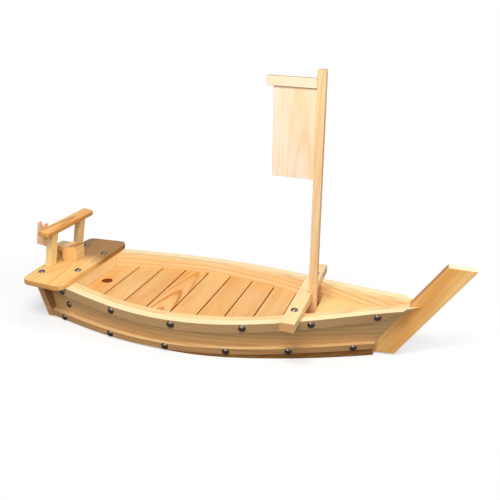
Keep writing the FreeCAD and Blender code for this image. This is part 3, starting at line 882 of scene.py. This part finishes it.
    @staticmethod
    def _bent_places(spots: np.ndarray) -> tuple[np.ndarray, np.ndarray]:
        """Places along a strip that is bent round the boat's side.

        Args:
            spots: the mesh's points.

        Returns:
            The places along, outward and above, and the grain's direction at each point.
        """
        side = np.sign(spots[:, 1].mean())
        middle = (spots[:, 0].min() + spots[:, 0].max()) / 2
        x = spots[:, 0] - middle
        reach = np.abs(spots[:, 1])
        curve = np.polynomial.Polynomial.fit(x, reach, BEND_DEGREE)
        slope = curve.deriv()(x)
        steps = np.linspace(x.min(), x.max(), BEND_STEPS)
        stretch = np.sqrt(1 + curve.deriv()(steps) ** 2)
        run = np.concatenate([[0.0], np.cumsum((stretch[1:] + stretch[:-1]) / 2 * np.diff(steps))])
        along = np.interp(x, steps, run)
        lean = np.sqrt(1 + slope ** 2)
        outward = (reach - curve(x)) / lean
        headings = np.stack([1 / lean, side * slope / lean, np.zeros_like(x)], 1)
        return np.stack([along, outward, spots[:, 2]], 1), headings


@dataclass
class DomeNails:
    """A group of dome nails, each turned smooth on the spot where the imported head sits.

    Attributes:
        node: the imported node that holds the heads.
        finish: the metal.
        around: points round each head.
        bands: rings of faces from crown to lip.
        lip: how tall the head's edge is.
    """

    node: str
    finish: Chrome = Chrome()
    around: int = 40
    bands: int = 9
    lip: float = 0.25 * MM

    def build(self) -> bpy.types.Object:
        """Make all the heads as one piece.

        Returns:
            The new object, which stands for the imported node.
        """
        shape = bmesh.new()
        for centre, axis, radius, height in self._heads():
            self._turn_head(shape, centre, axis, radius, height)
        piece = as_piece(f"{self.node}_polished", shape, self.finish)
        piece.data.shade_smooth()
        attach(piece, BODY)
        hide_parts(self.node)
        return piece

    def _heads(self) -> Iterator[tuple[Vector, Vector, float, float]]:
        """Find where each packed head sits.

        Yields:
            Centre of the flat back, outward axis, radius and height.
        """
        shape = welded(self.node)
        shape.normal_update()
        for island in self._islands(shape):
            backs: dict[tuple[float, ...], list[bmesh.types.BMFace]] = {}
            for face in dict.fromkeys(face for vert in island for face in vert.link_faces):
                backs.setdefault(tuple(round(part, 3) for part in face.normal), []).append(face)
            back = max(backs.values(), key=lambda faces: sum(face.calc_area() for face in faces))
            rim = dict.fromkeys(vert for face in back for vert in face.verts)
            centre = sum((vert.co for vert in rim), Vector()) / len(rim)
            axis = -back[0].normal
            radius = max((vert.co - centre).length for vert in rim)
            height = max((vert.co - centre).dot(axis) for vert in island)
            yield centre, axis.normalized(), radius, height
        shape.free()

    @staticmethod
    def _islands(shape: bmesh.types.BMesh) -> Iterator[list[bmesh.types.BMVert]]:
        """Each separate head's own points.

        Args:
            shape: the mesh of all heads.

        Yields:
            The points of one head.
        """
        seen: set[bmesh.types.BMVert] = set()
        for start in shape.verts:
            if start in seen:
                continue
            seen.add(start)
            island = [start]
            for vert in island:
                near = (link.other_vert(vert) for link in vert.link_edges)
                fresh = [other for other in near if other not in seen]
                seen.update(fresh)
                island.extend(fresh)
            yield island

    def _turn_head(
        self, shape: bmesh.types.BMesh, centre: Vector, axis: Vector, radius: float, height: float
    ) -> None:
        """Turn one head about its axis: a flat back, a short lip and a dome.

        Args:
            shape: the mesh that takes the head.
            centre: centre of the flat back.
            axis: outward axis.
            radius: radius of the lip.
            height: height of the crown.
        """
        rise = height - self.lip
        ball = (radius**2 + rise**2) / (2 * rise)
        sweep = math.asin(min(radius / ball, 1.0))
        profile = [(radius, 0.0), (radius, self.lip)]
        for band in range(1, self.bands):
            turn = sweep * (1 - band / self.bands)
            profile.append((ball * math.sin(turn), ball * math.cos(turn) - ball + height))
        stand = Matrix.Translation(centre) @ axis.to_track_quat("Z", "Y").to_matrix().to_4x4()
        rings = [self._ring(shape, stand, reach, level) for reach, level in profile]
        for low, high in zip(rings, rings[1:]):
            for index in range(self.around):
                after = (index + 1) % self.around
                shape.faces.new((low[index], low[after], high[after], high[index]))
        crown = shape.verts.new(stand @ Vector((0, 0, height)))
        for index in range(self.around):
            shape.faces.new((rings[-1][index], rings[-1][(index + 1) % self.around], crown))
        shape.faces.new(list(reversed(rings[0])))

    def _ring(
        self, shape: bmesh.types.BMesh, stand: Matrix, reach: float, level: float
    ) -> list[bmesh.types.BMVert]:
        """One ring of points about the axis.

        Args:
            shape: the mesh that takes the points.
            stand: where the head stands.
            reach: radius of the ring.
            level: its height above the back.

        Returns:
            The ring's points in order.
        """
        turns = [2 * math.pi * index / self.around for index in range(self.around)]
        spots = [Vector((reach * math.cos(t), reach * math.sin(t), level)) for t in turns]
        return [shape.verts.new(stand @ spot) for spot in spots]


@dataclass
class Pins:
    """Small flush wooden pins, sunk in a face with their heads just proud.

    Attributes:
        name: name of the piece.
        spots: where each pin's head is, with the face's normal.
        radius: radius of a pin's inner end.
        narrowing: radius of its head, as a share of that.
        proud: how far its head stands out.
        depth: length of the pin.
        around: points round each pin.
    """

    name: str
    spots: Sequence[tuple[Vector, Vector]]
    radius: float = 0.9 * MM
    narrowing: float = 0.9
    proud: float = 0.12 * MM
    depth: float = 0.5 * MM
    around: int = 16

    def build(self, slot: str) -> bpy.types.Object:
        """Make all the pins as one piece.

        Args:
            slot: the material slot of the timber that they are in; not used.

        Returns:
            The new object.
        """
        shape = bmesh.new()
        for spot, normal in self.spots:
            stand = Matrix.Translation(spot) @ normal.to_track_quat("Z", "Y").to_matrix().to_4x4()
            bmesh.ops.create_cone(
                shape,
                cap_ends=True,
                segments=self.around,
                radius1=self.radius,
                radius2=self.radius * self.narrowing,
                depth=self.depth,
                matrix=stand @ Matrix.Translation((0, 0, self.proud - self.depth / 2)),
            )
        piece = as_piece(self.name, shape, PinEnd())
        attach(piece, BODY)
        return piece


@dataclass
class Hull:
    """Bottom board, sides, rails, transom and stem.

    Attributes:
        ease: how wide the eased edges of the boards and rails are.
        stem_ease: how wide those of the stem are.
        side_step: how far apart in the tree the two sides were cut.
    """

    ease: float = 0.7 * MM
    stem_ease: float = 0.9 * MM
    side_step: float = 1.3

    def build(self) -> None:
        """Make every piece of the hull."""
        ease = self.ease
        for count, side in enumerate(SIDES):
            cut = self.side_step * count
            # The last number of each strip is the painted shade on its outboard faces
            for strip in (
                ("side_plank", PLANK_PINE, (-0.02, -0.1), cut, 0.22),
                ("upper_rail", RIM_PINE, (0.04, 0.02), cut + 0.4, 0.65),
                ("lower_rail", PLANK_PINE, (0.03, -0.02), cut + 0.8, 0.58),
            ):
                name, finish, pith, start, painted_shade = strip
                Timber(f"{name}_{side}", finish, Grain.BENT, ease, pith, start, OUTBOARD, painted_shade).build()
        # The last two numbers give which faces get painted shade and how much: the bottom board's outboard
        # edges, the transom's and the stem's end-facing faces
        for board in (
            ("bottom_board", BOARD_PINE, Grain.FORE_AND_AFT, ease, (0.0, -0.05), 2.0, OUTBOARD, 1.0),
            ("transom", BOARD_PINE, Grain.ATHWART, ease, (0.0, -0.05), 2.5, LENGTHWISE, 0.8),
            ("stem", STEM_PINE, Grain.LONG_EDGE, self.stem_ease, (0.02, 0.015), 3.0, LENGTHWISE, 0.6),
        ):
            Timber(*board).build()
        log.info("hull built")


@dataclass
class Deck:
    """Slats on their battens, the foredeck and the bulkhead.

    Attributes:
        slat_count: how many slats there are.
        figured_slat: the slat with the bold figure, counted from the stern.
        figured_pith: where the pith lies from that slat's centre.
        pith: where it lies from the others, before the steps are added.
        pith_step: how much further across it lies for each slat, and above for each shuffled count.
        slat_step: how far apart in the tree the slats were cut.
        ease: how wide the eased edges are.
        finger_hole: place along and across of the finger hole, whose wall gets full painted shade, and its
            radius with a margin.
        pin_shares: where the two rows of pins are, as shares of a slat's width.
    """

    slat_count: int = 9
    figured_slat: int = 4
    figured_pith: tuple[float, float] = (0.003, -0.013)
    pith: tuple[float, float] = (0.05, -0.03)
    pith_step: tuple[float, float] = (0.011, -0.006)
    slat_step: float = 0.37
    ease: float = 0.5 * MM
    finger_hole: tuple[float, float, float] = (-205.6 * MM, 0.0, 7.8 * MM)
    pin_shares: tuple[float, float] = (0.2, 0.75)

    def build(self) -> None:
        """Make every piece of the deck."""
        for side in SIDES:
            Timber(f"deck_batten_{side}", PLANK_PINE, Grain.FORE_AND_AFT).build()
        for number in range(1, self.slat_count + 1):
            self._slat(number)
        for board in (
            ("foredeck_board", FOREDECK_PINE, Grain.FORE_AND_AFT, self.ease, (0.03, -0.03), 5.0),
            ("stern_bulkhead", BULKHEAD_PINE, Grain.ATHWART, self.ease, (0.02, -0.05), 5.6),
        ):
            Timber(*board).build()
        Pins("deck_pins", self._pin_spots()).build("deck_slat_1")
        log.info("deck built")

    def _slat(self, number: int) -> None:
        """Make one slat.

        Args:
            number: which slat it is, counted from the stern.
        """
        shuffled = (number * 5) % 7
        pith = (self.pith[0] + self.pith_step[0] * number, self.pith[1] + self.pith_step[1] * shuffled)
        finish = (WARM_DECK_PINE, DECK_PINE, PALE_DECK_PINE)[number % 3]
        if number == self.figured_slat:
            pith = self.figured_pith
            finish = FIGURED_PINE
        Timber(
            f"deck_slat_{number}",
            finish,
            Grain.ATHWART,
            ease=self.ease,
            pith=pith,
            start=self.slat_step * number,
            # Painted shade on the slat's sides, which show in the gaps, and on the finger hole's wall
            shaded_faces=LENGTHWISE,
            painted_shade=1.0,
            shaded_bore=self.finger_hole if number == 1 else None,
        ).build()

    def _pin_spots(self) -> list[tuple[Vector, Vector]]:
        """Two pins at each batten through every slat.

        Returns:
            Where each pin's head is, with the way that it points.
        """
        spots = []
        for number in range(1, self.slat_count + 1):
            low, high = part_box(f"deck_slat_{number}")
            for side in SIDES:
                batten_low, batten_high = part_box(f"deck_batten_{side}")
                across = (batten_low.y + batten_high.y) / 2
                for share in self.pin_shares:
                    spot = Vector((low.x + (high.x - low.x) * share, across, high.z))
                    spots.append((spot, Vector((0, 0, 1))))
        return spots


@dataclass
class Rig:
    """Thwart, mast, yard and flag panel.

    Attributes:
        thwart_pin: where the head of the thwart's pin is.
    """

    thwart_pin: Point = (83.8 * MM, -2.1 * MM, 67.6 * MM)

    def build(self) -> None:
        """Make every piece of the rig."""
        Timber("thwart", THWART_PINE, Grain.ATHWART, 0.7 * MM, (0.03, -0.04), 6.1).build()
        Pins("thwart_pin", [(Vector(self.thwart_pin), Vector((0, 0, 1)))]).build("thwart")
        # The last two numbers give painted shade on the upward faces of the mast and the yard
        for piece in (
            ("mast", MAST_PINE, Grain.LONG_EDGE, 0.9 * MM, (0.03, 0.01), 7.0, UPWARD, 0.7),
            ("yard", YARD_PINE, Grain.LONG_EDGE, 0.7 * MM, (0.02, -0.03), 8.0, UPWARD, 0.8),
            ("flag_panel", FLAG_PINE, Grain.LONG_EDGE, 0.4 * MM, (0.05, 0.012), 8.4),
        ):
            Timber(*piece).build()
        log.info("rig built")


@dataclass
class SternGate:
    """Platform, gate, oar rest, block and bracket.

    Attributes:
        ease: how wide the eased edges of the smaller pieces are.
        rest_pin: where the head of the oar rest's pin is.
        rest_pin_radius: radius of that pin.
    """

    ease: float = 0.5 * MM
    rest_pin: Point = (-273.0 * MM, -41.5 * MM, 104.0 * MM)
    rest_pin_radius: float = 1.5 * MM

    def build(self) -> None:
        """Make every piece over the stern."""
        for piece in (
            ("stern_platform", PLATFORM_PINE, Grain.ATHWART, 1.2 * MM, (0.0, -0.06), 9.0),
            ("gate_post_port", POST_PINE, Grain.LONG_EDGE, 0.7 * MM, (0.02, 0.02), 9.5),
            ("gate_post_starboard", POST_PINE, Grain.LONG_EDGE, 0.7 * MM, (0.02, 0.02), 10.5),
            ("gate_beam", BEAM_PINE, Grain.ATHWART, 2.0 * MM, (0.0, -0.02), 11.2),
            ("oar_rest", REST_PINE, Grain.LONG_EDGE, self.ease, (0.02, 0.01), 12.0),
        ):
            Timber(*piece).build()
        rest_pin = (Vector(self.rest_pin), Vector((0, -1, 0)))
        Pins("oar_rest_pin", [rest_pin], self.rest_pin_radius).build("oar_rest")
        Timber("stern_block", BLOCK_PINE, Grain.ATHWART, self.ease, (0.01, -0.16), 12.5).build()
        Timber("stern_bracket", POST_PINE, Grain.ATHWART, self.ease, (0.01, -0.03), 13.0).build()
        log.info("stern gate built")


@dataclass(frozen=True)
class Softbox:
    """One soft lamp.

    Attributes:
        name: name of the lamp.
        place: where it hangs.
        target: what it is turned to.
        size: width and height of its face.
        power: its power in watts.
    """

    name: str
    place: Point
    target: Point
    size: tuple[float, float]
    power: float

    def build(self) -> None:
        """Hang the lamp."""
        lamp = bpy.data.lights.new(self.name, "AREA")
        lamp.shape = "RECTANGLE"
        lamp.size, lamp.size_y = self.size
        lamp.energy = self.power
        hung = bpy.data.objects.new(self.name, lamp)
        hung.location = self.place
        hung.rotation_euler = (Vector(self.target) - Vector(self.place)).to_track_quat("-Z", "Y").to_euler()
        bpy.context.scene.collection.objects.link(hung)


LAMPS = (
    Softbox("overhead", (0.1, 0.35, 1.3), (0.0, 0.0, 0.05), (0.8, 0.6), 3.9),
    Softbox("key", (0.0, -0.52, 0.84), (0.02, 0.0, 0.1), (0.42, 0.3), 6.0),
    Softbox("front", (0.1, -1.05, 0.64), (0.0, 0.0, 0.06), (0.8, 0.5), 4.6),
    Softbox("bow", (0.85, 0.12, 0.5), (0.0, 0.0, 0.12), (0.5, 0.4), 2.4),
)


@dataclass
class Studio:
    """Pale floor, white surround, soft lamps and the camera.

    Attributes:
        floor_half: half the floor's width.
        floor_level: how pale the floor is where it shows the boat's shadow.
        bounce: how pale it is for the light that it throws back on the boat.
        shade_oval: how places on the floor are scaled to make the shadow's field an oval.
        shade_reach: how far to the side of the boat's middle the floor still shows a shadow.
        shade_core: share of that reach within which it shows the most.
        shade_depth: how much of the shadow the floor keeps there.
        ambient: how strongly the surround lights the boat.
        camera_place: where the camera stands.
        yaw: how far it is turned to the left of straight across, in degrees.
        pitch: how far it looks down, in degrees.
        roll: how far it is tipped, in degrees.
        lens: its focal length in millimetres on a 36 mm sensor.
    """

    floor_half: float = 3.0
    floor_level: float = 0.97
    bounce: float = 0.2
    shade_oval: Point = (0.5, 1.0, 1.0)
    shade_reach: float = 0.26
    shade_core: float = 0.5
    shade_depth: float = 0.5
    ambient: float = 0.27
    camera_place: Point = (0.2292, -0.7391, 0.4026)
    yaw: float = 16.82
    pitch: float = 20.62
    roll: float = 1.98
    lens: float = 45.81

    def build(self) -> None:
        """Set up everything round the boat."""
        self._floor()
        self._surround()
        for lamp in LAMPS:
            lamp.build()
        self._camera()
        bpy.context.scene.view_settings.view_transform = "Standard"
        log.info("studio built")

    @staticmethod
    def _seen_rays(paint: Paint) -> Signal:
        """One for rays that show the background, straight or through glass."""
        path = paint.node("ShaderNodeLightPath", output="Is Camera Ray")
        return path.larger(path.output("Is Transmission Ray"))

    def _floor(self) -> None:
        """Lay the floor, white to the eye and a mild grey for the light that it throws back."""
        half = self.floor_half
        mesh = bpy.data.meshes.new("studio_floor")
        corners = [(-half, -half, 0), (half, -half, 0), (half, half, 0), (-half, half, 0)]
        mesh.from_pydata(corners, [], [(0, 1, 2, 3)])
        paint = Paint(bpy.data.materials.new("studio_floor"))
        lit = paint.node("ShaderNodeBsdfDiffuse", sockets={"Color": grey(self.floor_level)})
        white = paint.node("ShaderNodeEmission", sockets={"Color": WHITE})
        seen = paint.node("ShaderNodeMixShader", sockets={0: self._open_floor(paint), 1: lit, 2: white})
        mild = paint.node("ShaderNodeBsdfDiffuse", sockets={"Color": grey(self.bounce)})
        mixed = paint.node("ShaderNodeMixShader", sockets={0: self._seen_rays(paint), 1: mild, 2: seen})
        mesh.materials.append(paint.finish(mixed))
        floor = bpy.data.objects.new("studio_floor", mesh)
        bpy.context.scene.collection.objects.link(floor)
        floor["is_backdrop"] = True

    def _open_floor(self, paint: Paint) -> Signal:
        """How far the floor is plain white, away from the boat's shadow.

        Args:
            paint: the paint that takes the nodes.

        Returns:
            Lowest under the boat, rising to one at the edge of an oval round it.
        """
        place = paint.node("ShaderNodeNewGeometry", output="Position")
        oval = paint.node("ShaderNodeVectorMath", {"operation": "MULTIPLY"}, {0: place, 1: self.shade_oval})
        away = paint.node("ShaderNodeVectorMath", {"operation": "LENGTH"}, {0: oval}, output="Value")
        return paint.node(
            "ShaderNodeMapRange",
            {"interpolation_type": "SMOOTHSTEP"},
            {
                "Value": away,
                "From Min": self.shade_core * self.shade_reach,
                "From Max": self.shade_reach,
                "To Min": 1 - self.shade_depth,
            },
        )

    def _surround(self) -> None:
        """Make the surround white to the eye and in mirrors, and softer as a light."""
        world = bpy.data.worlds.new("studio_surround")
        bpy.context.scene.world = world
        paint = Paint(world)
        mirrored = paint.node("ShaderNodeLightPath", output="Is Glossy Ray")
        level = self._seen_rays(paint).larger(mirrored).larger(self.ambient)
        white = paint.node("ShaderNodeBackground", sockets={"Color": WHITE, "Strength": level})
        paint.node("ShaderNodeOutputWorld", sockets={"Surface": white})

    def _camera(self) -> None:
        """Set the camera at the photograph's viewing angle."""
        yaw, pitch, roll = (math.radians(turn) for turn in (self.yaw, self.pitch, self.roll))
        reach = math.cos(pitch)
        ahead = Vector((-math.sin(yaw) * reach, math.cos(yaw) * reach, -math.sin(pitch)))
        level = Vector((math.cos(yaw), math.sin(yaw), 0))
        upward = level.cross(ahead)
        right = level * math.cos(roll) + upward * math.sin(roll)
        top = upward * math.cos(roll) - level * math.sin(roll)
        lens = bpy.data.cameras.new("view")
        lens.lens = self.lens
        lens.sensor_width = 36.0
        lens.clip_start = 10 * MM
        stand = bpy.data.objects.new("view", lens)
        pose = Matrix((right, top, -ahead)).transposed().to_4x4()
        pose.translation = self.camera_place
        stand.matrix_world = pose
        bpy.context.scene.collection.objects.link(stand)
        bpy.context.scene.camera = stand


def main() -> None:
    """Build the boat's pieces, its nails and the studio."""
    logging.basicConfig(level=logging.INFO)
    Hull().build()
    Deck().build()
    Rig().build()
    SternGate().build()
    for node in NAIL_NODES:
        DomeNails(node).build()
    Studio().build()
    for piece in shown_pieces():
        log.info("%s: %d faces", piece.name, len(piece.data.polygons))


if __name__ == "__main__":
    main()
